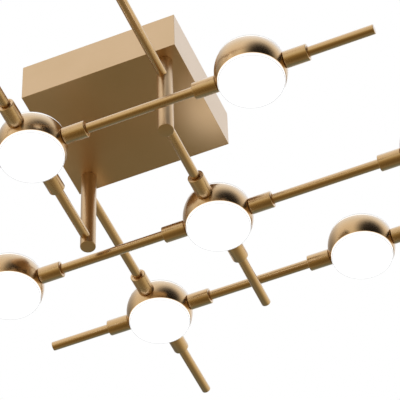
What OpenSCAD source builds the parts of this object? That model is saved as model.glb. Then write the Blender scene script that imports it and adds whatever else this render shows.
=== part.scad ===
// Semi-flush ceiling chandelier: a rectangular canopy, two stems and crossed round arms in
// two layers, carrying ten double-faced disc lamps. Millimetres, +Z up.
// The origin is on the ceiling plane at the middle of the canopy, so the part hangs below Z = 0.

/* [Canopy] */
// Width of the canopy along X
canopy_w = 258; // [250:1:300]
// Depth of the canopy along Y
canopy_d = 216; // [212:1:260]
// Height of the canopy
canopy_h = 76; // [66:1:80]
// Sheet thickness of the canopy
canopy_wall = 1.2; // [1:0.1:2]

/* [Stems] */
// Outer diameter of a stem
stem_d = 24.4; // [23:0.2:26]
// Wall thickness of a stem
stem_wall = 1.6; // [1.2:0.1:2]
// Distance of each stem from the middle along X
stem_x = 101; // [95:1:108]
// Distance of each stem from the middle along Y
stem_y = 82; // [78:1:84]
// Length of stem below the lower arm's axis
stem_below = 16.5; // [15:0.5:24]

/* [Arms] */
// Outer diameter of an arm
arm_d = 15; // [14:0.5:16]
// Wall thickness of an arm
arm_wall = 1; // [0.8:0.1:1.2]
// Drop from the ceiling to the axis of the upper arms
high_drop = 115; // [110:1:120]
// Drop from the ceiling to the axis of the lower arms
low_drop = 224; // [216:1:240]
// Distance between neighbouring rows along Y
row_pitch = 242; // [230:1:260]
// Distance between neighbouring lamps in a row along X
lamp_pitch = 355; // [330:1:380]
// Reach of a free arm along X from its lamp's centre
tail_reach = 193; // [150:1:220]
// Reach of a free arm along Y from its lamp's centre
cross_reach = 198; // [150:1:220]

/* [Collars] */
// Outer diameter of a collar
collar_d = 26; // [24:0.5:28]
// Reach of a collar's outer end from its lamp's centre
collar_reach = 90.5; // [86:0.5:96]
// Depth of the recess in a collar's outer end
recess_depth = 2; // [1:0.5:4]

/* [Lamps] */
// Largest diameter of a lamp's brass ring, at mid height
ring_d = 109.2; // [108.8:0.1:109.6]
// Diameter of the brass ring at its upper and lower edges
rim_d = 102.4; // [102.2:0.1:102.6]
// Height of the brass ring
ring_h = 39; // [38:0.5:40]
// Diameter of a diffuser
lens_d = 100; // [99.6:0.1:100.2]
// Height that a diffuser stands proud of its ring
lens_proud = 5; // [4.5:0.1:6]
// Wall thickness of a diffuser
lens_wall = 2; // [1.5:0.1:2.5]

/* [Pivots] */
// Outer diameter of the hollow threaded nipples
nipple_d = 10; // [9.6:0.1:10.4]
// Radial clearance of a nipple in a bored hole
running_gap = 0.05; // [0.03:0.01:0.1]
// Side clearance between a swivelling lamp and its washer and nut
side_gap = 0.2; // [0.1:0.05:0.3]

/* [Hidden] */
$fn = 96;
eps = 1; // Overshoot of a cutting solid past the face that it cuts

// Colours
brass = [0.76, 0.62, 0.43];
canopy_brass = [0.80, 0.70, 0.56];
opal = [0.97, 0.97, 0.95];
zinc = [0.70, 0.71, 0.73];
white_plastic = [0.90, 0.90, 0.88];
fibre = [0.22, 0.16, 0.11];
wire_red = [0.55, 0.12, 0.10];

// Places of the lamps. A cross lamp is held by the crossing arms, an in-line head hangs beyond it.
low_z = -low_drop;
high_z = -high_drop;
row_y = row_pitch / 2;
outer_y = 3 * row_y;
CROSS_LAMPS = [
    [-stem_x, -row_y, low_z],
    [stem_x, row_y, low_z],
    [stem_x, -outer_y, high_z],
    [-stem_x, outer_y, high_z]
];
// Each head: place, then the direction along X in which it lies from its cross lamp
HEADS = [
    [[lamp_pitch - stem_x, -row_y, low_z], 1],
    [[-lamp_pitch - stem_x, -row_y, low_z], -1],
    [[stem_x - lamp_pitch, row_y, low_z], -1],
    [[stem_x + lamp_pitch, row_y, low_z], 1],
    [[stem_x - lamp_pitch, -outer_y, high_z], -1],
    [[lamp_pitch - stem_x, outer_y, high_z], 1]
];
// Each stem: place, then the direction along Y in which its lower arm leaves it
STEMS = [[[stem_x, -stem_y, 0], 1], [[-stem_x, stem_y, 0], -1]];
// Heading in degrees of the free row arm on each upper cross lamp, opposite its head
ROW_TAILS = [[CROSS_LAMPS[2], 0], [CROSS_LAMPS[3], 180]];

// Lamp section
ring_r = ring_d / 2;
rim_r = rim_d / 2;
half_ring = ring_h / 2;
bulge = ring_r - rim_r;
bulge_r = (half_ring * half_ring + bulge * bulge) / (2 * bulge);
barrel_rows = 14;
cavity_r = 47;
lens_r = lens_d / 2;
lens_seat = 2.5;
lens_gap = 0.2;
lens_corner = 3.5;
pad_face = 43.5;
pad_w = 22;
pad_h = 18;
plate_t = 2;
plate_r = 46.8;
board_t = 1.6;
board_r = 44;
post_d = 6;
post_reach = 30;
post_count = 4;

// Collar, washer and nipple places along an arm, from the lamp's centre
seat_reach = 52.7;
seat_r = 13.4;
collar_face = 53.9;
arm_start = 74;
recess_d = 17.8;
washer_d = 24;
nipple_start = 37;
nipple_bore = 7;
nut_flats = 15;
nut_t = 4;
plug_t = 6;
hole_d = nipple_d + 2 * running_gap;
arm_bore = arm_d - 2 * arm_wall;

// Stem
stem_bore = stem_d - 2 * stem_wall;
stem_cap = 10;
arm_inset = 6;
stem_bottom = low_z - stem_below;
stem_nipple_up = 14;
stem_nut_flats = 19;
stem_nut_t = 6;
stem_washer_d = 24;
stem_washer_t = 1.6;

// Bracket, made to hang on a ceiling box
bracket_w = 120;
bracket_t = 2.5;
ear_gap = 0.4;
ear_h = 22;
ear_y = canopy_d / 2 - canopy_wall - ear_gap;
slot_spacing = 88.9;
slot_w = 5.2;
slot_l = 14;
entry_d = 38;
screw_x = 40;
screw_z = -12;
screw_d = 4;
screw_head_d = 8;
screw_head_t = 2.6;
screw_l = 9;
tab_w = 20;
tab_t = 3;
tab_l = 8;
tab_gap = 0.5;

// Driver and terminal block, fixed under the bracket
driver_w = 92;
driver_d = 40;
driver_h = 24;
driver_y = 62;
lug_l = 11;
lug_t = 4;
block_w = 36;
block_d = 18;
block_h = 16;
block_y = -62;
block_ways = 3;
block_pitch = 11;
lead_d = 3;
bend_ratio = 1.15;

// ---- General shapes ----

// Tube along +X from x1 to x2
module tube_x(x1, x2, outer, inner) {
    translate([x1, 0, 0]) rotate([0, 90, 0]) difference() {
        cylinder(d = outer, h = x2 - x1);
        translate([0, 0, -eps]) cylinder(d = inner, h = x2 - x1 + 2 * eps);
    }
}

// Rod along +X from x1 to x2
module rod_x(x1, x2, d) {
    translate([x1, 0, 0]) rotate([0, 90, 0]) cylinder(d = d, h = x2 - x1);
}

// Hexagon nut, its lower face on Z = 0
module hex_nut(flats, thick, bore) {
    difference() {
        cylinder(d = flats / cos(30), h = thick, $fn = 6);
        translate([0, 0, -eps]) cylinder(d = bore, h = thick + 2 * eps);
    }
}

// Ring washer, its lower face on Z = 0
module washer(outer, bore, thick) {
    difference() {
        cylinder(d = outer, h = thick);
        translate([0, 0, -eps]) cylinder(d = bore, h = thick + 2 * eps);
    }
}

// Pan-head machine screw: head below Z = 0, shank along +Z, cross slots in the head
module pan_screw(length) {
    slot = 1;
    difference() {
        union() {
            translate([0, 0, -screw_head_t]) cylinder(d = screw_head_d, h = screw_head_t);
            cylinder(d = screw_d, h = length);
        }
        for (turn = [0, 90]) rotate(turn)
            translate([-screw_head_d / 2 - eps, -slot / 2, -screw_head_t - eps])
                cube([screw_head_d + 2 * eps, slot, eps + slot]);
    }
}

// Insulated lead through a list of points, with a slightly fuller ball at each bend
module lead(points, d) {
    for (i = [0 : len(points) - 2]) {
        run = points[i + 1] - points[i];
        translate(points[i]) rotate([0, acos(run[2] / norm(run)), atan2(run[1], run[0])])
            cylinder(d = d, h = norm(run));
        if (i > 0) translate(points[i]) sphere(d = bend_ratio * d);
    }
}

// ---- Ceiling bracket and canopy ----

module slot_hole(x) {
    straight = (slot_l - slot_w) / 2;
    for (side = [-1, 1]) translate([x + side * straight, 0, -bracket_t - eps])
        cylinder(d = slot_w, h = bracket_t + 2 * eps);
    translate([x - straight, -slot_w / 2, -bracket_t - eps])
        cube([2 * straight, slot_w, bracket_t + 2 * eps]);
}

module ceiling_bracket() {
    color(zinc) difference() {
        union() {
            translate([-bracket_w / 2, -ear_y, -bracket_t]) cube([bracket_w, 2 * ear_y, bracket_t]);
            for (side = [-1, 1]) translate([-bracket_w / 2, side > 0 ? ear_y - bracket_t : -ear_y, -ear_h])
                cube([bracket_w, bracket_t, ear_h]);
        }
        translate([0, 0, -bracket_t - eps]) cylinder(d = entry_d, h = bracket_t + 2 * eps);
        for (side = [-1, 1]) {
            slot_hole(side * slot_spacing / 2);
            translate([side * screw_x, ear_y - bracket_t - eps, screw_z]) rotate([-90, 0, 0])
                cylinder(d = screw_d + 0.1, h = bracket_t + 2 * eps);
            translate([side * screw_x - tab_w / 2 - tab_gap, -ear_y - eps, screw_z - tab_t / 2 - tab_gap])
                cube([tab_w + 2 * tab_gap, bracket_t + 2 * eps, tab_t + 2 * tab_gap]);
            translate([side * (driver_w + lug_l) / 2, driver_y, -bracket_t - eps])
                cylinder(d = screw_d + 0.1, h = bracket_t + 2 * eps);
        }
    }
}

module canopy() {
    inner_w = canopy_w - 2 * canopy_wall;
    inner_d = canopy_d - 2 * canopy_wall;
    color(canopy_brass) difference() {
        translate([-canopy_w / 2, -canopy_d / 2, -canopy_h]) cube([canopy_w, canopy_d, canopy_h]);
        translate([-inner_w / 2, -inner_d / 2, canopy_wall - canopy_h]) cube([inner_w, inner_d, canopy_h]);
        for (stem = STEMS) translate([stem[0][0], stem[0][1], -canopy_h - eps])
            cylinder(d = hole_d, h = canopy_wall + 2 * eps);
        for (side = [-1, 1]) translate([side * screw_x, inner_d / 2 - eps, screw_z]) rotate([-90, 0, 0])
            cylinder(d = screw_d + 0.4, h = canopy_wall + 2 * eps);
    }
}

module canopy_tabs() {
    color(zinc) for (side = [-1, 1])
        translate([side * screw_x - tab_w / 2, canopy_wall - canopy_d / 2, screw_z - tab_t / 2])
            cube([tab_w, tab_l, tab_t]);
}

module canopy_screws() {
    color(canopy_brass) for (side = [-1, 1])
        translate([side * screw_x, canopy_d / 2, screw_z]) rotate([90, 0, 0]) pan_screw(screw_l);
}

module led_driver() {
    color(white_plastic) translate([0, driver_y, -bracket_t]) difference() {
        union() {
            translate([-driver_w / 2, -driver_d / 2, -driver_h]) cube([driver_w, driver_d, driver_h]);
            translate([-driver_w / 2 - lug_l, -lug_l, -lug_t]) cube([driver_w + 2 * lug_l, 2 * lug_l, lug_t]);
        }
        for (side = [-1, 1]) translate([side * (driver_w + lug_l) / 2, 0, -lug_t - eps])
            cylinder(d = screw_d + 0.4, h = lug_t + 2 * eps);
    }
}

module driver_screws() {
    color(zinc) for (side = [-1, 1])
        translate([side * (driver_w + lug_l) / 2, driver_y, -bracket_t - lug_t])
            pan_screw(lug_t + bracket_t);
}

module terminal_block() {
    way_d = 5;
    way_z = -block_h / 2;
    clamp_d = 4.5;
    color(white_plastic) translate([0, block_y, -bracket_t]) difference() {
        translate([-block_w / 2, -block_d / 2, -block_h]) cube([block_w, block_d, block_h]);
        for (way = [0 : block_ways - 1]) translate([(way - (block_ways - 1) / 2) * block_pitch, 0, way_z]) {
            rotate([90, 0, 0]) cylinder(d = way_d, h = block_d + 2 * eps, center = true);
            translate([0, -block_d / 4, way_z - eps]) cylinder(d = clamp_d, h = -way_z + eps);
            translate([0, block_d / 4, way_z - eps]) cylinder(d = clamp_d, h = -way_z + eps);
        }
    }
}

// Mains leads from the terminal block to the driver, and a low-voltage lead down each stem
module canopy_wires() {
    block_face = block_y + block_d / 2;
    driver_face = driver_y - driver_d / 2;
    way_z = -bracket_t - block_h / 2;
    driver_z = -bracket_t - driver_h / 2;
    color(wire_red) {
        for (side = [-1, 1]) lead([
            [side * block_pitch, block_face - 6, way_z],
            [side * block_pitch, block_face + 8, way_z],
            [side * 26, 0, driver_z],
            [side * 26, driver_face, driver_z]
        ], lead_d);
        for (stem = STEMS) {
            side = stem[0][0] > 0 ? 1 : -1;
            top = -canopy_h + stem_nipple_up + 8;
            lead([
                [stem[0][0], stem[0][1], high_z + lead_d],
                [stem[0][0], stem[0][1], top],
                [side * 74, driver_y - 20, driver_z],
                [side * 66, driver_y - 13, driver_z],
                [side * driver_w / 2, driver_y - 13, driver_z]
            ], lead_d);
        }
    }
}

// ---- Stems ----

// Stem with a solid top cap. Its lower arm leaves along dir, its upper arm the other way.
module stem(place, dir) {
    top = -canopy_h;
    color(brass) translate([place[0], place[1], 0]) difference() {
        translate([0, 0, stem_bottom]) cylinder(d = stem_d, h = top - stem_bottom);
        translate([0, 0, stem_bottom - eps]) cylinder(d = stem_bore, h = top - stem_cap - stem_bottom + eps);
        translate([0, 0, top - stem_cap - eps]) cylinder(d = hole_d, h = stem_cap + 2 * eps);
        translate([0, 0, low_z]) rotate([-90 * dir, 0, 0])
            cylinder(d = arm_d + 2 * running_gap, h = stem_d);
        translate([0, 0, high_z]) rotate([90 * dir, 0, 0])
            cylinder(d = arm_d + 2 * running_gap, h = stem_d);
    }
}

module stem_right() {
    stem(STEMS[0][0], STEMS[0][1]);
}

module stem_left() {
    stem(STEMS[1][0], STEMS[1][1]);
}

module stem_nipples() {
    color(zinc) for (stem = STEMS) translate([stem[0][0], stem[0][1], -canopy_h - stem_cap])
        washer(nipple_d, nipple_bore, stem_cap + stem_nipple_up);
}

module stem_washers() {
    color(zinc) for (stem = STEMS) translate([stem[0][0], stem[0][1], canopy_wall - canopy_h])
        washer(stem_washer_d, hole_d, stem_washer_t);
}

module stem_nuts() {
    color(zinc) for (stem = STEMS)
        translate([stem[0][0], stem[0][1], canopy_wall + stem_washer_t - canopy_h])
            hex_nut(stem_nut_flats, stem_nut_t, hole_d);
}

module stem_plugs() {
    color(brass) for (stem = STEMS) translate([stem[0][0], stem[0][1], stem_bottom])
        cylinder(d = stem_bore - 2 * running_gap, h = plug_t);
}

// ---- Arms, in the two layers ----

// Arm from a stem to its cross lamp, along +X in the arm's own frame, whose origin is the stem's axis
module stem_arm(span) {
    tube_x(arm_inset, span - arm_start, arm_d, arm_bore);
}

module cross_arms_low() {
    color(brass) for (stem = STEMS) translate([stem[0][0], stem[0][1], low_z]) rotate(90 * stem[1])
        stem_arm(stem_y + row_y);
}

module cross_arms_high() {
    color(brass) for (stem = STEMS) translate([stem[0][0], stem[0][1], high_z]) rotate(-90 * stem[1])
        stem_arm(outer_y - stem_y);
}

// Heading in degrees of the free arm that continues each cross arm past its lamp
function cross_heading(place) = place[1] > 0 ? 90 : -90;

module free_arm(reach) {
    tube_x(arm_start, reach, arm_d, arm_bore);
}

module end_plug(reach) {
    rod_x(reach - plug_t, reach, arm_bore - 2 * running_gap);
}

module cross_tails() {
    color(brass) for (place = CROSS_LAMPS)
        translate(place) rotate(cross_heading(place)) free_arm(cross_reach);
}

module row_tails() {
    color(brass) for (tail = ROW_TAILS) translate(tail[0]) rotate(tail[1]) free_arm(tail_reach);
}

module arm_plugs() {
    color(brass) {
        for (place = CROSS_LAMPS) translate(place) rotate(cross_heading(place)) end_plug(cross_reach);
        for (tail = ROW_TAILS) translate(tail[0]) rotate(tail[1]) end_plug(tail_reach);
    }
}

// Arms from the cross lamps to the heads numbered from first to last
module row_links(first, last) {
    color(brass) for (i = [first : last]) translate(HEADS[i][0]) rotate(HEADS[i][1] > 0 ? 180 : 0)
        tube_x(arm_start, lamp_pitch - arm_start, arm_d, arm_bore);
}

module row_links_low() {
    row_links(0, 3);
}

module row_links_high() {
    row_links(4, 5);
}

// Thin two-core leads inside the arms
module arm_wires() {
    wire_d = 3.5;
    wire_start = 35;
    color(wire_red) {
        for (stem = STEMS) {
            translate([stem[0][0], stem[0][1], low_z]) rotate(90 * stem[1])
                rod_x(-wire_d / 2, stem_y + row_y - wire_start, wire_d);
            translate([stem[0][0], stem[0][1], high_z]) rotate(-90 * stem[1])
                rod_x(-wire_d / 2, outer_y - stem_y - wire_start, wire_d);
            translate([stem[0][0], stem[0][1], low_z + wire_d / 2])
                cylinder(d = wire_d, h = high_z - low_z - wire_d);
        }
        for (head = HEADS) translate(head[0]) rotate(head[1] > 0 ? 180 : 0)
            rod_x(wire_start, lamp_pitch - wire_start, wire_d);
    }
}

// ---- Collars, nipples, nuts and washers, placed along +X from a lamp's centre ----

module collar() {
    difference() {
        rod_x(collar_face, collar_reach, collar_d);
        rod_x(collar_face - eps, arm_start, hole_d);
        rod_x(arm_start, collar_reach + eps, arm_d + 2 * running_gap);
        rod_x(collar_reach - recess_depth, collar_reach + eps, recess_d);
    }
}

module arm_nipple() {
    tube_x(nipple_start, arm_start, nipple_d, nipple_bore);
}

// Nut inside the ring, backed off from its pad by gap
module inner_nut(gap) {
    translate([pad_face - gap - nut_t, 0, 0]) rotate([0, 90, 0]) hex_nut(nut_flats, nut_t, hole_d);
}

// Washer between the ring's seat and the collar, backed off from the seat by gap
module seat_washer(gap) {
    translate([seat_reach + gap, 0, 0]) rotate([0, 90, 0])
        washer(washer_d, hole_d, collar_face - seat_reach - gap);
}

// Repeats its children in the four arm directions of every cross lamp
module at_cross_lamps() {
    for (place = CROSS_LAMPS, turn = [0 : 90 : 270]) translate(place) rotate(turn) children();
}

// Repeats its children on the inner side of every head, the side that its link arm comes from
module at_pivots() {
    for (head = HEADS) translate(head[0]) rotate(head[1] > 0 ? 180 : 0) children();
}

module cross_collars() {
    color(brass) at_cross_lamps() collar();
}

module pivot_collars() {
    color(brass) at_pivots() collar();
}

module cross_nipples() {
    color(zinc) at_cross_lamps() arm_nipple();
}

module pivot_nipples() {
    color(zinc) at_pivots() arm_nipple();
}

module nipple_nuts() {
    color(zinc) {
        at_cross_lamps() inner_nut(0);
        at_pivots() inner_nut(side_gap);
    }
}

module spacer_washers() {
    color(fibre) at_cross_lamps() seat_washer(0);
}

module friction_washers() {
    color(fibre) at_pivots() seat_washer(side_gap);
}

// ---- Lamps, about their own centre ----

// Outer profile of the ring from bottom to top, as short straight runs along its arc
function barrel() = [
    for (i = [0 : barrel_rows]) let (z = half_ring * (2 * i / barrel_rows - 1))
        [ring_r - bulge_r + sqrt(bulge_r * bulge_r - z * z), z]
];

// Barrel-shaped brass ring with a flat pad, a bored hole and a flat seat for each arm
module housing(turns) {
    color(brass) difference() {
        union() {
            rotate_extrude() difference() {
                polygon(concat([[cavity_r, half_ring], [cavity_r, -half_ring]], barrel()));
                for (side = [-1, 1]) translate([0, side * half_ring - lens_seat])
                    square([lens_r + lens_gap, 2 * lens_seat]);
            }
            for (turn = turns) rotate(turn) translate([pad_face, -pad_w / 2, -pad_h / 2])
                cube([cavity_r + 2 - pad_face, pad_w, pad_h]);
        }
        for (turn = turns) rotate(turn) {
            rod_x(pad_face - eps, ring_r + eps, hole_d);
            rod_x(seat_reach, ring_r + eps, 2 * seat_r);
        }
    }
}

// Upper opal diffuser, a shallow cap with a rounded edge that sits in the ring's rebate
module diffuser() {
    seat_z = half_ring - lens_seat;
    depth = lens_seat + lens_proud;
    translate([0, 0, seat_z]) rotate_extrude() difference() {
        union() {
            square([lens_r - lens_corner, depth]);
            square([lens_r, depth - lens_corner]);
            translate([lens_r - lens_corner, depth - lens_corner]) circle(r = lens_corner);
        }
        translate([0, -eps]) square([lens_r - lens_wall, depth - lens_wall + eps]);
    }
}

module diffuser_pair() {
    color(opal) {
        diffuser();
        mirror([0, 0, 1]) diffuser();
    }
}

// Two heat plates with a round circuit board on each, held apart by posts
module light_engine() {
    plate_z = pad_h / 2;
    color([0.82, 0.83, 0.84]) {
        for (side = [0, 1]) mirror([0, 0, side]) {
            translate([0, 0, plate_z]) cylinder(r = plate_r, h = plate_t);
            translate([0, 0, plate_z + plate_t]) cylinder(r = board_r, h = board_t);
        }
        for (i = [0 : post_count - 1]) rotate((i + 0.5) * 360 / post_count)
            translate([post_reach, 0, -plate_z]) cylinder(d = post_d, h = 2 * plate_z);
    }
}

module cross_diffusers() {
    for (place = CROSS_LAMPS) translate(place) diffuser_pair();
}

module cross_light_engines() {
    for (place = CROSS_LAMPS) translate(place) light_engine();
}

// Outer collar, free arm, plug, nipple, nut and washer that swing with a head
module head_tail(direction) {
    color(brass) rotate(direction > 0 ? 0 : 180) {
        collar();
        free_arm(tail_reach);
        end_plug(tail_reach);
        arm_nipple();
        inner_nut(0);
        seat_washer(0);
    }
}

// ---- The nodes ----

ceiling_bracket();
canopy();
canopy_tabs();
canopy_screws();
led_driver();
driver_screws();
terminal_block();
canopy_wires();
stem_right();
stem_left();
stem_nipples();
stem_nuts();
stem_washers();
stem_plugs();
cross_arms_low();
cross_arms_high();
cross_tails();
row_links_low();
row_links_high();
row_tails();
arm_plugs();
cross_collars();
pivot_collars();
cross_nipples();
pivot_nipples();
nipple_nuts();
spacer_washers();
friction_washers();
arm_wires();
cross_diffusers();
cross_light_engines();
for (i = [0 : len(CROSS_LAMPS) - 1])
    translate(CROSS_LAMPS[i]) housing([0, 90, 180, 270]);
for (i = [0 : len(HEADS) - 1]) {
    translate(HEADS[i][0]) housing([0, 180]);
    translate(HEADS[i][0]) diffuser_pair();
    translate(HEADS[i][0]) light_engine();
    translate(HEADS[i][0]) head_tail(HEADS[i][1]);
}
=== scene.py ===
"""Looks for the semi-flush chandelier: canopy, stems, crossed arms and double-faced disc lamps.

Every length is in metres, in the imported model's own frame: +Z up, the ceiling at Z = 0.
"""
import math

import bmesh
import bpy
from mathutils import Matrix, Vector


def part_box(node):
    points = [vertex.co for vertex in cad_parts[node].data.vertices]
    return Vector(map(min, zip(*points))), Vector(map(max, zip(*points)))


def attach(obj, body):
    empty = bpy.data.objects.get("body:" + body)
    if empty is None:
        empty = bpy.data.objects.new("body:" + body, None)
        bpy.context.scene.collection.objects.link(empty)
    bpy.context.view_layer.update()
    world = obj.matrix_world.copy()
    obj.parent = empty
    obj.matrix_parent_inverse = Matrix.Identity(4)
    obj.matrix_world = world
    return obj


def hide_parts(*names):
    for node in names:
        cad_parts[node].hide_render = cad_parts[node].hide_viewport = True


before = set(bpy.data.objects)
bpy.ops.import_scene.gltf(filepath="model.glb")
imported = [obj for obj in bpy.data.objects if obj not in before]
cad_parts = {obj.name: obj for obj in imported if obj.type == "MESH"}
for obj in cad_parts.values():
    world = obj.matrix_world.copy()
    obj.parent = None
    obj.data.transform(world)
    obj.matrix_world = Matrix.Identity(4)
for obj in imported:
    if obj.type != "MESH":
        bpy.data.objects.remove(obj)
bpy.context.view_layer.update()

# ---- Sizes that the frame gives ----

HEAD_COUNT = 6
LOW_HEAD_COUNT = 4  # The heads with the first numbers are in the lower layer
CROSS_COUNT = 4
LOW_CROSS_COUNT = 2


def middle(node):
    low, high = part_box(node)
    return (Vector(low) + Vector(high)) / 2


def extent(node):
    low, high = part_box(node)
    return Vector(high) - Vector(low)


CROSS_LAMPS = [middle(f"cross_housing_{i + 1}") for i in range(CROSS_COUNT)]
HEADS = [middle(f"head_{i + 1}_housing") for i in range(HEAD_COUNT)]
# The direction along X in which each head lies from the cross lamp of its row
HEAD_SIDES = [1 if middle(f"head_{i + 1}_tail").x > HEADS[i].x else -1 for i in range(HEAD_COUNT)]
STEMS = {name: middle(name) for name in ("stem_right", "stem_left")}
RING_R = extent("head_1_housing").y / 2
RING_H = extent("head_1_housing").z
LENS_R = extent("head_1_diffusers").x / 2
LAMP_H = extent("head_1_diffusers").z
STEM_R = extent("stem_right").x / 2
STEM_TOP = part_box("stem_right")[1][2]
STEM_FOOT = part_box("stem_right")[0][2]
COLLAR_R = extent("head_1_tail").z / 2
TAIL_REACH = abs(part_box("head_1_tail")[1][0] - HEADS[0].x)
CROSS_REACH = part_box("cross_tails")[1][1] - max(lamp.y for lamp in CROSS_LAMPS)
CANOPY_LOW, CANOPY_HIGH = (Vector(corner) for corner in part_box("canopy"))

# ---- Sizes of details. Each reach is measured along an arm from the middle of its lamp ----

ARM_R = 0.0075
ARM_BORE_R = 0.0065
ARM_EDGE = 0.0007
ARM_START = 0.074
ARM_INSET = 0.006  # Reach of a cross arm from the axis of its stem
STEM_EDGE = 0.0009
COLLAR_FACE = 0.0539
COLLAR_REACH = 0.0905
COLLAR_BORE_R = 0.0052
COLLAR_COUNTERBORE_R = 0.0076
COLLAR_LAMP_EDGE = 0.0008
COLLAR_OUTER_EDGE = 0.0012
RECESS_R = 0.0089
RECESS_DEPTH = 0.0014
RECESS_TAPER = 0.0004
RECESS_EDGE = 0.0004
SEAT_REACH = 0.0538
SEAT_R = 0.0122
WASHER_START = 0.0537
WASHER_BORE_R = 0.0105
WASHER_R = 0.012
RIM_R = 0.0512
CAVITY_R = 0.047
REBATE_DEPTH = 0.0025
REBATE_GAP = 0.0002
DIFFUSER_WALL = 0.002
CROWN = 0.0004  # Height of a diffuser's face above its rounded edge
FILLET = 0.0008
INNER_FILLET = 0.001
EDGE_R = 0.0484  # Where the band of painted shade round a diffuser's face lies
BAND_FALLS = (0.9, 0.92)  # Shares of the crown that the face has fallen by on either side of BAND
LIP = 0.0014  # Height of the band of painted shade down an upper diffuser's side
BAND = 0.0002  # Width over which the lamp's light drops into the band of painted shade
NEAR = 0.0001  # Slack for telling which vertices belong to a band of painted shade
SHEET = 0.0012
FOLD_R = 0.0005
RING_ROWS = 28
LAMP_STEPS = 160  # Segments round a ring or a diffuser
RING_CREASE = 4  # Degrees, so that a ring's flat seats shade flat

# ---- Camera ----

CAMERA_PLACE = Vector((1.0178, -2.2925, -3.1627))
CAMERA_HEADING = math.radians(21.40)
CAMERA_PITCH = math.radians(49.10)
CAMERA_ROLL = math.radians(-2.0)
CAMERA_LENS = 228.98
SENSOR = 36.0


def add_camera():
    """The camera looks up at the light from below and in front."""
    data = bpy.data.cameras.new("camera")
    data.lens = CAMERA_LENS
    data.sensor_width = SENSOR
    data.clip_start = 0.05
    data.clip_end = 200
    camera = bpy.data.objects.new("camera", data)
    bpy.context.scene.collection.objects.link(camera)
    ahead = Vector((-math.sin(CAMERA_HEADING), math.cos(CAMERA_HEADING), 0))
    forward = ahead * math.cos(CAMERA_PITCH) + Vector((0, 0, math.sin(CAMERA_PITCH)))
    level = ahead.cross(Vector((0, 0, 1)))
    upright = level.cross(forward)
    right = level * math.cos(CAMERA_ROLL) + upright * math.sin(CAMERA_ROLL)
    up = right.cross(forward)
    turn = Matrix((right, up, -forward)).transposed()
    camera.matrix_world = Matrix.Translation(CAMERA_PLACE) @ turn.to_4x4()
    bpy.context.scene.camera = camera


# ---- Node helpers ----


EVEN = (1, 1, 1)  # Noise that is not stretched along any axis


class Shader:
    """A material under construction: makes nodes and links them."""

    def __init__(self, name):
        self.material = bpy.data.materials.new(name)
        self.material.use_nodes = True
        self.tree = self.material.node_tree
        self.surface = self.tree.nodes["Principled BSDF"]
        self.object_space = self.node("ShaderNodeTexCoord").outputs["Object"]

    def node(self, kind, **settings):
        made = self.tree.nodes.new(kind)
        for key, value in settings.items():
            setattr(made, key, value)
        return made

    def link(self, source, target):
        self.tree.links.new(source, target)

    def set(self, **values):
        for key, value in values.items():
            self.surface.inputs[key.replace("_", " ")].default_value = value

    def noise(self, stretch, scale, detail=3.0, roughness=0.5):
        """Noise in object space, stretched along the axes by stretch."""
        mapping = self.node("ShaderNodeMapping")
        mapping.inputs["Scale"].default_value = stretch
        self.link(self.object_space, mapping.inputs["Vector"])
        noise = self.node("ShaderNodeTexNoise")
        noise.inputs["Scale"].default_value = scale
        noise.inputs["Detail"].default_value = detail
        noise.inputs["Roughness"].default_value = roughness
        self.link(mapping.outputs["Vector"], noise.inputs["Vector"])
        return noise.outputs["Fac"]

    def span(self, value, low, high, start=0.3, end=0.7):
        """Maps value from start..end to low..high."""
        span = self.node("ShaderNodeMapRange")
        span.inputs["From Min"].default_value = start
        span.inputs["From Max"].default_value = end
        span.inputs["To Min"].default_value = low
        span.inputs["To Max"].default_value = high
        self.link(value, span.inputs["Value"])
        return span.outputs["Result"]

    def blend(self, factor, first, second):
        mix = self.node("ShaderNodeMix", data_type="RGBA")
        mix.inputs["A"].default_value = (*first, 1)
        mix.inputs["B"].default_value = (*second, 1)
        self.link(factor, mix.inputs["Factor"])
        return mix.outputs["Result"]

    def bump(self, height, strength, distance):
        bump = self.node("ShaderNodeBump")
        bump.inputs["Strength"].default_value = strength
        bump.inputs["Distance"].default_value = distance
        self.link(height, bump.inputs["Height"])
        self.link(bump.outputs["Normal"], self.surface.inputs["Normal"])


def satin_brass(name, light, deep, roughness, stretch):
    """Brushed and lacquered brass: fine lines along the stretched axes, faint cloudy tarnish."""
    shader = Shader(name)
    clouds = shader.noise(EVEN, scale=14, detail=3)
    lines = shader.noise(stretch, scale=420, detail=2, roughness=0.6)
    shader.link(shader.blend(shader.span(clouds, 0, 1), light, deep), shader.surface.inputs["Base Color"])
    shader.link(shader.span(lines, roughness - 0.04, roughness + 0.04), shader.surface.inputs["Roughness"])
    shader.bump(lines, strength=0.08, distance=0.00001)
    shader.set(Metallic=1.0)
    return shader.material


def opal_plastic():
    """Lit opal acrylic: even white, but for a thin band of painted shade round each edge, where the light
    is darkened to grey.
    """
    shader = Shader("opal")
    shader.set(Base_Color=(0.5, 0.5, 0.5, 1), Roughness=0.5, Specular_IOR_Level=0.2)
    grain = shader.noise(EVEN, scale=900, detail=2)
    shader.bump(grain, strength=0.03, distance=0.00002)
    glow_and_painted_rim_shade = shader.node("ShaderNodeAttribute", attribute_name="glow_and_painted_rim_shade")
    # The light darkens to painted shade in the thin band round each edge
    light = shader.blend(glow_and_painted_rim_shade.outputs["Fac"], PAINTED_RIM_SHADE, FACE_GLOW)
    shader.link(light, shader.surface.inputs["Emission Color"])
    shader.set(Emission_Strength=LENS_STRENGTH)
    return shader.material


def plain_metal(name, light, deep, roughness):
    """Plated or cast metal with cloudy variation and fine grain."""
    shader = Shader(name)
    clouds = shader.noise(EVEN, scale=60, detail=4)
    grain = shader.noise(EVEN, scale=1500, detail=2)
    shader.link(shader.blend(shader.span(clouds, 0, 1), light, deep), shader.surface.inputs["Base Color"])
    shader.link(shader.span(clouds, roughness - 0.06, roughness + 0.08), shader.surface.inputs["Roughness"])
    shader.bump(grain, strength=0.08, distance=0.00004)
    shader.set(Metallic=1.0)
    return shader.material


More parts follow.
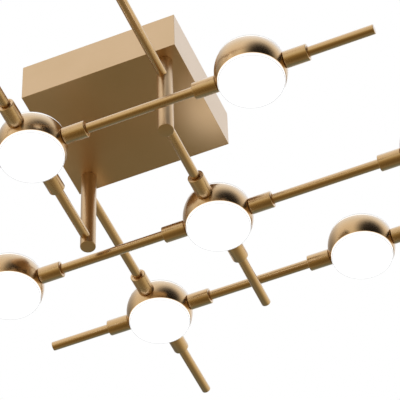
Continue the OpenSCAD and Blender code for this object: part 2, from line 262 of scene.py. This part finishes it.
def moulded(name, light, deep, roughness):
    """Moulded plastic, fibre or silicone with a fine grain."""
    shader = Shader(name)
    clouds = shader.noise(EVEN, scale=45, detail=3)
    grain = shader.noise(EVEN, scale=700, detail=2)
    shader.link(shader.blend(shader.span(clouds, 0, 1), light, deep), shader.surface.inputs["Base Color"])
    shader.link(shader.span(grain, roughness - 0.05, roughness + 0.08), shader.surface.inputs["Roughness"])
    shader.bump(grain, strength=0.15, distance=0.00005)
    return shader.material


# ---- Colours and materials ----

BRASS_LIGHT = (0.665, 0.465, 0.268)
BRASS_DEEP = (0.63, 0.435, 0.24)
CANOPY_LIGHT = (0.64, 0.450, 0.265)
CANOPY_DEEP = (0.615, 0.43, 0.245)
FACE_GLOW = (1.0, 0.97, 0.94)
# Painted shade: the dim grey that each diffuser's light drops to in a thin band round its edge
PAINTED_RIM_SHADE = (0.24, 0.24, 0.24)
LENS_STRENGTH = 0.96

BRASS_ROUND = satin_brass("brass_ring", BRASS_LIGHT, BRASS_DEEP, 0.24, (1, 1, 14))
BRASS_X = satin_brass("brass_arm_x", BRASS_LIGHT, BRASS_DEEP, 0.26, (1, 14, 14))
BRASS_Y = satin_brass("brass_arm_y", BRASS_LIGHT, BRASS_DEEP, 0.26, (14, 1, 14))
BRASS_Z = satin_brass("brass_stem", BRASS_LIGHT, BRASS_DEEP, 0.38, (14, 14, 1))
CANOPY_BRASS = satin_brass("brass_canopy", CANOPY_LIGHT, CANOPY_DEEP, 0.35, (1, 1, 10))
OPAL = opal_plastic()
ZINC = plain_metal("zinc", (0.62, 0.63, 0.64), (0.50, 0.50, 0.50), 0.38)
ALUMINIUM = plain_metal("engine_metal", (0.80, 0.80, 0.81), (0.72, 0.72, 0.73), 0.42)
WHITE_PLASTIC = moulded("white_case", (0.80, 0.80, 0.77), (0.74, 0.74, 0.71), 0.45)
FIBRE = moulded("dark_fibre", (0.26, 0.14, 0.06), (0.18, 0.09, 0.035), 0.7)
SLEEVE = moulded("red_sleeve", (0.40, 0.04, 0.03), (0.32, 0.03, 0.025), 0.5)

# ---- Mesh helpers ----

ROUND_STEPS = 96
FILLET_STEPS = 5
SAME_POINT = 1e-7


def rounded(outline):
    """Points of a closed outline whose corners (a, b, radius) are turned into arcs."""
    points = []
    count = len(outline)
    for i, (a, b, radius) in enumerate(outline):
        here = Vector((a, b))
        if radius == 0:
            points.append(here)
            continue
        back = (Vector(outline[i - 1][:2]) - here).normalized()
        on = (Vector(outline[(i + 1) % count][:2]) - here).normalized()
        half = back.angle(on) / 2
        centre = here + (back + on).normalized() * (radius / math.sin(half))
        start = here + back * (radius / math.tan(half)) - centre
        end = here + on * (radius / math.tan(half)) - centre
        sweep = start.angle_signed(end)
        for step in range(FILLET_STEPS + 1):
            turn = Matrix.Rotation(-sweep * step / FILLET_STEPS, 2)
            points.append(centre + turn @ start)
    return points


def lathe(outline, steps=ROUND_STEPS):
    """Vertices and faces of a closed outline of (radius, height) turned about Z."""
    vertices = []
    faces = []
    count = len(outline)
    for i in range(steps):
        angle = 2 * math.pi * i / steps
        for radius, height in outline:
            vertices.append(Vector((radius * math.cos(angle), radius * math.sin(angle), height)))
    for i in range(steps):
        this, after = i * count, (i + 1) % steps * count
        for j in range(count):
            k = (j + 1) % count
            faces.append((this + j, after + j, after + k, this + k))
    return vertices, faces


TO_X = Matrix.Rotation(math.pi / 2, 4, "Y")


class Shape:
    """Collects placed solids into one mesh."""

    def __init__(self):
        self.vertices = []
        self.faces = []

    def add(self, solid, place):
        start = len(self.vertices)
        vertices, faces = solid
        self.vertices += [place @ v for v in vertices]
        self.faces += [tuple(start + i for i in face) for face in faces]
        return self

    def piece(self, name, material, body, slot, *nodes, sharp=35):
        """Makes the piece, smooth but for its sharp edges, riding on body in place of nodes."""
        mesh = bpy.data.meshes.new(name)
        mesh.from_pydata(self.vertices, [], self.faces)
        mesh.validate()
        clean(mesh)
        mesh.shade_smooth()
        mesh.set_sharp_from_angle(angle=math.radians(sharp))
        mesh.materials.append(material)
        piece = bpy.data.objects.new(name, mesh)
        bpy.context.scene.collection.objects.link(piece)
        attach(piece, body)
        if nodes:
            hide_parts(*nodes)
        return piece


def clean(mesh):
    """Joins the points that meet on an axis and turns all faces outwards."""
    work = bmesh.new()
    work.from_mesh(mesh)
    bmesh.ops.remove_doubles(work, verts=work.verts, dist=SAME_POINT)
    bmesh.ops.dissolve_degenerate(work, edges=work.edges, dist=SAME_POINT)
    bmesh.ops.recalc_face_normals(work, faces=work.faces)
    work.to_mesh(mesh)
    work.free()


# ---- Solids about their own axis ----


def tube(start, end, outer, inner, edge=0.0):
    """A tube along Z whose outer edges are rounded by edge."""
    return lathe(rounded([(inner, start, 0), (outer, start, edge), (outer, end, edge), (inner, end, 0)]))


def arm(start, end):
    return tube(start, end, ARM_R, ARM_BORE_R, ARM_EDGE)


def plugged_arm(start, end):
    return tube(start, end, ARM_R, 0, ARM_EDGE)


def collar():
    """A sleeve with rounded ends and a recess round the arm at its outer end."""
    outline = [
        (COLLAR_BORE_R, COLLAR_FACE, 0),
        (COLLAR_R, COLLAR_FACE, COLLAR_LAMP_EDGE),
        (COLLAR_R, COLLAR_REACH, COLLAR_OUTER_EDGE),
        (RECESS_R, COLLAR_REACH, RECESS_EDGE),
        (RECESS_R - RECESS_TAPER, COLLAR_REACH - RECESS_DEPTH, 0),
        (COLLAR_COUNTERBORE_R, COLLAR_REACH - RECESS_DEPTH, 0),
        (COLLAR_COUNTERBORE_R, ARM_START, 0),
        (COLLAR_BORE_R, ARM_START, 0),
    ]
    return lathe(rounded(outline))


def ring(seats):
    """The lamp's barrel-shaped ring, rebated for its diffusers, with a flat seat for each collar.

    Each seat is the axis that its collars lie along and the axis across them, as 0 for X and 1 for Y.
    """
    half = RING_H / 2
    bulge = RING_R - RIM_R
    radius = (half**2 + bulge**2) / (2 * bulge)
    reach = math.asin(half / radius)
    outline = []
    for i in range(RING_ROWS + 1):
        angle = reach * (2 * i / RING_ROWS - 1)
        outline.append((RING_R - radius + radius * math.cos(angle), radius * math.sin(angle)))
    rebate_r = LENS_R + REBATE_GAP
    floor = half - REBATE_DEPTH
    outline += [
        (rebate_r, half),
        (rebate_r, floor),
        (CAVITY_R, floor),
        (CAVITY_R, -floor),
        (rebate_r, -floor),
        (rebate_r, -half),
    ]
    vertices, faces = lathe(outline, LAMP_STEPS)
    for vertex in vertices:
        for along, across in seats:
            if Vector((vertex[across], vertex.z)).length < SEAT_R and abs(vertex[along]) > SEAT_REACH:
                vertex[along] = math.copysign(SEAT_REACH, vertex[along])
    return vertices, faces


def diffuser():
    """An opal cap above the ring, with a rounded edge and a barely crowned face."""
    seat = RING_H / 2 - REBATE_DEPTH
    top = LAMP_H / 2
    inner = LENS_R - DIFFUSER_WALL
    outline = [
        (0, top, 0),
        (EDGE_R - BAND, top - CROWN * BAND_FALLS[0], 0),
        (EDGE_R, top - CROWN * BAND_FALLS[1], 0),
        (LENS_R, top - CROWN, FILLET),
        (LENS_R, top - CROWN - LIP, 0),
        (LENS_R, top - CROWN - LIP - BAND, 0),
        (LENS_R, seat, 0),
        (inner, seat, 0),
        (inner, top - CROWN - DIFFUSER_WALL, INNER_FILLET),
        (0, top - DIFFUSER_WALL, 0),
    ]
    return lathe(rounded(outline), LAMP_STEPS)


def washer():
    """The part of a washer that shows between the lamp's ring and a collar."""
    return tube(WASHER_START, COLLAR_FACE, WASHER_R, WASHER_BORE_R)


# ---- Pieces ----

QUARTER = math.pi / 2


def heading(place, quarters):
    """Takes a solid along Z to one along X turned by quarters, at place."""
    return Matrix.Translation(place) @ Matrix.Rotation(quarters * QUARTER, 4, "Z") @ TO_X


def box_solid(low, high):
    corners = [Vector((x, y, z)) for z in (low.z, high.z) for y in (low.y, high.y) for x in (low.x, high.x)]
    faces = [(0, 2, 3, 1), (4, 5, 7, 6), (0, 1, 5, 4), (2, 6, 7, 3), (0, 4, 6, 2), (1, 3, 7, 5)]
    return corners, faces


def add_canopy():
    """The sheet box, open at the top, with folded edges of a small radius."""
    low, high = CANOPY_LOW, CANOPY_HIGH
    inner_low = low + Vector((SHEET, SHEET, SHEET))
    inner_high = Vector((high.x - SHEET, high.y - SHEET, high.z))
    outer = box_solid(low, high)[0]
    inner = box_solid(inner_low, inner_high)[0]
    shape = Shape()
    shape.vertices = outer + inner
    shape.faces = [(0, 2, 3, 1), (0, 1, 5, 4), (2, 6, 7, 3), (0, 4, 6, 2), (1, 3, 7, 5)]
    shape.faces += [tuple(8 + i for i in reversed(face)) for face in shape.faces[:5]]
    shape.faces += [(4, 5, 13, 12), (5, 7, 15, 13), (7, 6, 14, 15), (6, 4, 12, 14)]
    canopy = shape.piece("canopy_shell", CANOPY_BRASS, "fixture", "canopy_brass", "canopy", sharp=50)
    fold = canopy.modifiers.new("folded_edges", "BEVEL")
    fold.width = FOLD_R
    fold.segments = 3
    fold.limit_method = "ANGLE"
    fold.harden_normals = True
    return canopy


def add_stems():
    for name, place in STEMS.items():
        shape = Shape()
        at = Matrix.Translation((place.x, place.y, 0))
        shape.add(tube(STEM_FOOT, STEM_TOP, STEM_R, 0, STEM_EDGE), at)
        nodes = [name, "stem_plugs"] if name == "stem_left" else [name]
        shape.piece(name + "_tube", BRASS_Z, "fixture", "satin_brass", *nodes)


def add_arms():
    """All the arms that stay still: from the stems, between the lamps, and the free ones."""
    right, left = STEMS["stem_right"], STEMS["stem_left"]
    level = {"low": Shape(), "high": Shape()}
    tails = Shape()
    for i, lamp in enumerate(CROSS_LAMPS):
        stem = right if lamp.x > 0 else left
        quarters = 1 if lamp.y > stem.y else -1
        span = abs(lamp.y - stem.y)
        at = heading(Vector((stem.x, stem.y, lamp.z)), quarters)
        level["low" if i < LOW_CROSS_COUNT else "high"].add(arm(ARM_INSET, span - ARM_START), at)
        tails.add(plugged_arm(ARM_START, CROSS_REACH), heading(lamp, quarters))
    level["low"].piece("cross_arm_tubes_low", BRASS_Y, "fixture", "satin_brass", "cross_arms_low")
    level["high"].piece("cross_arm_tubes_high", BRASS_Y, "fixture", "satin_brass", "cross_arms_high")
    tails.piece("cross_tail_tubes", BRASS_Y, "fixture", "satin_brass", "cross_tails", "arm_plugs")

    links = {"low": Shape(), "high": Shape()}
    row_tails = Shape()
    for i, head in enumerate(HEADS):
        lamp = min(CROSS_LAMPS, key=lambda c: abs(c.y - head.y) + abs(c.z - head.z))
        span = abs(lamp.x - head.x)
        back = 2 if HEAD_SIDES[i] > 0 else 0
        row = "low" if i < LOW_HEAD_COUNT else "high"
        links[row].add(arm(ARM_START, span - ARM_START), heading(head, back))
        if row == "high":
            row_tails.add(plugged_arm(ARM_START, TAIL_REACH), heading(lamp, back))
    links["low"].piece("row_link_tubes_low", BRASS_X, "fixture", "satin_brass", "row_links_low")
    links["high"].piece("row_link_tubes_high", BRASS_X, "fixture", "satin_brass", "row_links_high")
    row_tails.piece("row_tail_tubes", BRASS_X, "fixture", "satin_brass", "row_tails")


def add_fixed_collars():
    along_x, along_y, pivots = Shape(), Shape(), Shape()
    spacers, discs = Shape(), Shape()
    for lamp in CROSS_LAMPS:
        for quarters in range(4):
            shape = along_y if quarters % 2 else along_x
            shape.add(collar(), heading(lamp, quarters))
            spacers.add(washer(), heading(lamp, quarters))
    for head, side in zip(HEADS, HEAD_SIDES):
        back = heading(head, 2 if side > 0 else 0)
        pivots.add(collar(), back)
        discs.add(washer(), back)
    along_x.piece("cross_collars_x", BRASS_X, "fixture", "satin_brass", "cross_collars")
    along_y.piece("cross_collars_y", BRASS_Y, "fixture", "satin_brass")
    pivots.piece("pivot_collar_sleeves", BRASS_X, "fixture", "satin_brass", "pivot_collars")
    spacers.piece("spacer_rings", FIBRE, "fixture", "fibre", "spacer_washers")
    discs.piece("friction_rings", FIBRE, "fixture", "fibre", "friction_washers")


def mark_glow_and_painted_rim_shade(piece, centres):
    """Stores how brightly each point of the opal glows: 1, and 0 in a thin band of painted shade round each
    edge.
    """
    glow_and_painted_rim_shade = piece.data.attributes.new("glow_and_painted_rim_shade", "FLOAT", "POINT")
    for i, vertex in enumerate(piece.data.vertices):
        nearest = min(centres, key=lambda c: (c - vertex.co).length)
        from_centre = vertex.co - nearest
        reach = from_centre.xy.length
        band = reach > EDGE_R - NEAR
        if from_centre.z > 0:
            band = band and from_centre.z > LAMP_H / 2 - CROWN - LIP - NEAR
        else:
            band = band and reach < LENS_R - FILLET + NEAR
        # 0 marks the thin band of painted shade round each edge
        glow_and_painted_rim_shade.data[i].value = 0.0 if band else 1.0


def add_lamps():
    flip = Matrix.Diagonal((1, 1, -1, 1))
    caps = Shape()
    for i, lamp in enumerate(CROSS_LAMPS):
        at = Matrix.Translation(lamp)
        Shape().add(ring([(0, 1), (1, 0)]), at).piece(
            f"cross_ring_{i + 1}",
            BRASS_ROUND,
            "fixture",
            "satin_brass",
            f"cross_housing_{i + 1}",
            sharp=RING_CREASE,
        )
        caps.add(diffuser(), at).add(diffuser(), at @ flip)
    mark_glow_and_painted_rim_shade(caps.piece("cross_opal_caps", OPAL, "fixture", "opal", "cross_diffusers"), CROSS_LAMPS)
    for i, (head, side) in enumerate(zip(HEADS, HEAD_SIDES)):
        name = body = f"head_{i + 1}"
        at = Matrix.Translation(head)
        out = heading(head, 0 if side > 0 else 2)
        Shape().add(ring([(0, 1)]), at).piece(
            name + "_ring", BRASS_ROUND, body, "satin_brass", name + "_housing", sharp=RING_CREASE
        )
        opal = Shape().add(diffuser(), at).add(diffuser(), at @ flip)
        mark_glow_and_painted_rim_shade(opal.piece(name + "_opal_caps", OPAL, body, "opal", name + "_diffusers"), [head])
        tail = Shape().add(collar(), out).add(plugged_arm(ARM_START, TAIL_REACH), out)
        tail.piece(name + "_arm", BRASS_X, body, "satin_brass", name + "_tail")
        spacer = Shape().add(washer(), out)
        spacer.piece(name + "_spacer", FIBRE, body, "fibre")


def dress_hidden_nodes():
    """Materials for the CAD nodes that stay as they are."""
    finishes = {
        "ceiling_bracket": ZINC,
        "canopy_tabs": ZINC,
        "canopy_screws": CANOPY_BRASS,
        "led_driver": WHITE_PLASTIC,
        "driver_screws": ZINC,
        "terminal_block": WHITE_PLASTIC,
        "canopy_wires": SLEEVE,
        "stem_nipples": ZINC,
        "stem_nuts": ZINC,
        "stem_washers": ZINC,
        "cross_nipples": ZINC,
        "pivot_nipples": ZINC,
        "nipple_nuts": ZINC,
        "arm_wires": SLEEVE,
        "cross_light_engines": ALUMINIUM,
    }
    for i in range(HEAD_COUNT):
        finishes[f"head_{i + 1}_light_engine"] = ALUMINIUM
    for node, material in finishes.items():
        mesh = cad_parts[node].data
        mesh.materials.clear()
        mesh.materials.append(material)


# ---- Studio ----

FLOOR_Z = -16.0
FLOOR_SIZE = 120.0


def add_floor():
    mesh = bpy.data.meshes.new("floor")
    half = FLOOR_SIZE / 2
    corners = [(x * half, y * half, FLOOR_Z) for x, y in ((-1, -1), (1, -1), (1, 1), (-1, 1))]
    mesh.from_pydata(corners, [], [(0, 1, 2, 3)])
    floor = bpy.data.objects.new("floor", mesh)
    bpy.context.scene.collection.objects.link(floor)
    paint = bpy.data.materials.new("floor_paint")
    paint.use_nodes = True
    surface = paint.node_tree.nodes["Principled BSDF"]
    surface.inputs["Base Color"].default_value = (0.85, 0.85, 0.84, 1)
    surface.inputs["Roughness"].default_value = 0.9
    mesh.materials.append(paint)
    floor.visible_glossy = False


def add_studio():
    """Plain soft studio light: bright above, warm and dim below, with a few broad patches.

    The camera sees a plain white backdrop in its place.
    """
    world = bpy.data.worlds.new("studio")
    bpy.context.scene.world = world
    world.use_nodes = True
    tree = world.node_tree
    tree.nodes.clear()

    def node(kind, **settings):
        made = tree.nodes.new(kind)
        for key, value in settings.items():
            setattr(made, key, value)
        return made

    direction = node("ShaderNodeTexCoord").outputs["Generated"]
    split = node("ShaderNodeSeparateXYZ")
    tree.links.new(direction, split.inputs[0])
    height = node("ShaderNodeMapRange")
    height.inputs["From Min"].default_value = -1
    height.inputs["From Max"].default_value = 1
    tree.links.new(split.outputs["Z"], height.inputs["Value"])
    ramp = node("ShaderNodeValToRGB")
    tree.links.new(height.outputs["Result"], ramp.inputs["Fac"])
    stops = [
        (0.00, (0.22, 0.185, 0.115)),
        (0.14, (0.37, 0.300, 0.175)),
        (0.28, (0.63, 0.550, 0.350)),
        (0.42, (0.86, 0.805, 0.610)),
        (0.60, (0.94, 0.890, 0.760)),
        (0.78, (1.00, 0.950, 0.880)),
        (0.88, (1.06, 1.050, 1.040)),
        (0.96, (1.08, 1.150, 1.260)),
        (1.00, (1.22, 1.420, 1.800)),
    ]
    while len(ramp.color_ramp.elements) < len(stops):
        ramp.color_ramp.elements.new(0.5)
    for element, (place, colour) in zip(ramp.color_ramp.elements, stops):
        element.position = place
        element.color = (*colour, 1)
    shade = ramp.outputs["Color"]
    # Each patch: its direction, the degrees over which it fades out, and the colour it multiplies by
    patches = [
        (Vector((0.776, -0.606, 0.174)), 24, 57, (0.015, 0.015, 0.02)),
        (Vector((-0.24, -0.35, -0.905)), 15, 55, (0.78, 0.66, 0.43)),
        (Vector((-0.907, 0.366, 0.208)), 10, 60, (0.28, 0.29, 0.31)),
        (Vector((-0.24, 0.95, -0.20)), 10, 52, (0.34, 0.44, 0.58)),
        (Vector((0.239, 0.61, 0.756)), 8, 42, (1.06, 1.18, 1.38)),
    ]
    for towards, inner, outer, colour in patches:
        dot = node("ShaderNodeVectorMath", operation="DOT_PRODUCT")
        dot.inputs[1].default_value = towards
        tree.links.new(direction, dot.inputs[0])
        fade = node("ShaderNodeMapRange", interpolation_type="SMOOTHSTEP")
        fade.inputs["From Min"].default_value = math.cos(math.radians(inner))
        fade.inputs["From Max"].default_value = math.cos(math.radians(outer))
        tree.links.new(dot.outputs["Value"], fade.inputs["Value"])
        tint = node("ShaderNodeMix", data_type="RGBA")
        tint.inputs["A"].default_value = (*colour, 1)
        tint.inputs["B"].default_value = (1, 1, 1, 1)
        tree.links.new(fade.outputs["Result"], tint.inputs["Factor"])
        product = node("ShaderNodeMix", data_type="RGBA", blend_type="MULTIPLY")
        product.inputs["Factor"].default_value = 1
        tree.links.new(shade, product.inputs["A"])
        tree.links.new(tint.outputs["Result"], product.inputs["B"])
        shade = product.outputs["Result"]
    studio = node("ShaderNodeBackground")
    tree.links.new(shade, studio.inputs["Color"])
    backdrop = node("ShaderNodeBackground")
    backdrop.inputs["Color"].default_value = (1, 1, 1, 1)
    seen = node("ShaderNodeLightPath")
    either = node("ShaderNodeMixShader")
    tree.links.new(seen.outputs["Is Camera Ray"], either.inputs[0])
    tree.links.new(studio.outputs[0], either.inputs[1])
    tree.links.new(backdrop.outputs[0], either.inputs[2])
    output = node("ShaderNodeOutputWorld")
    tree.links.new(either.outputs[0], output.inputs["Surface"])
    bpy.context.scene.view_settings.view_transform = "Standard"


add_camera()
add_studio()
add_floor()
add_canopy()
add_stems()
add_arms()
add_fixed_collars()
add_lamps()
dress_hidden_nodes()
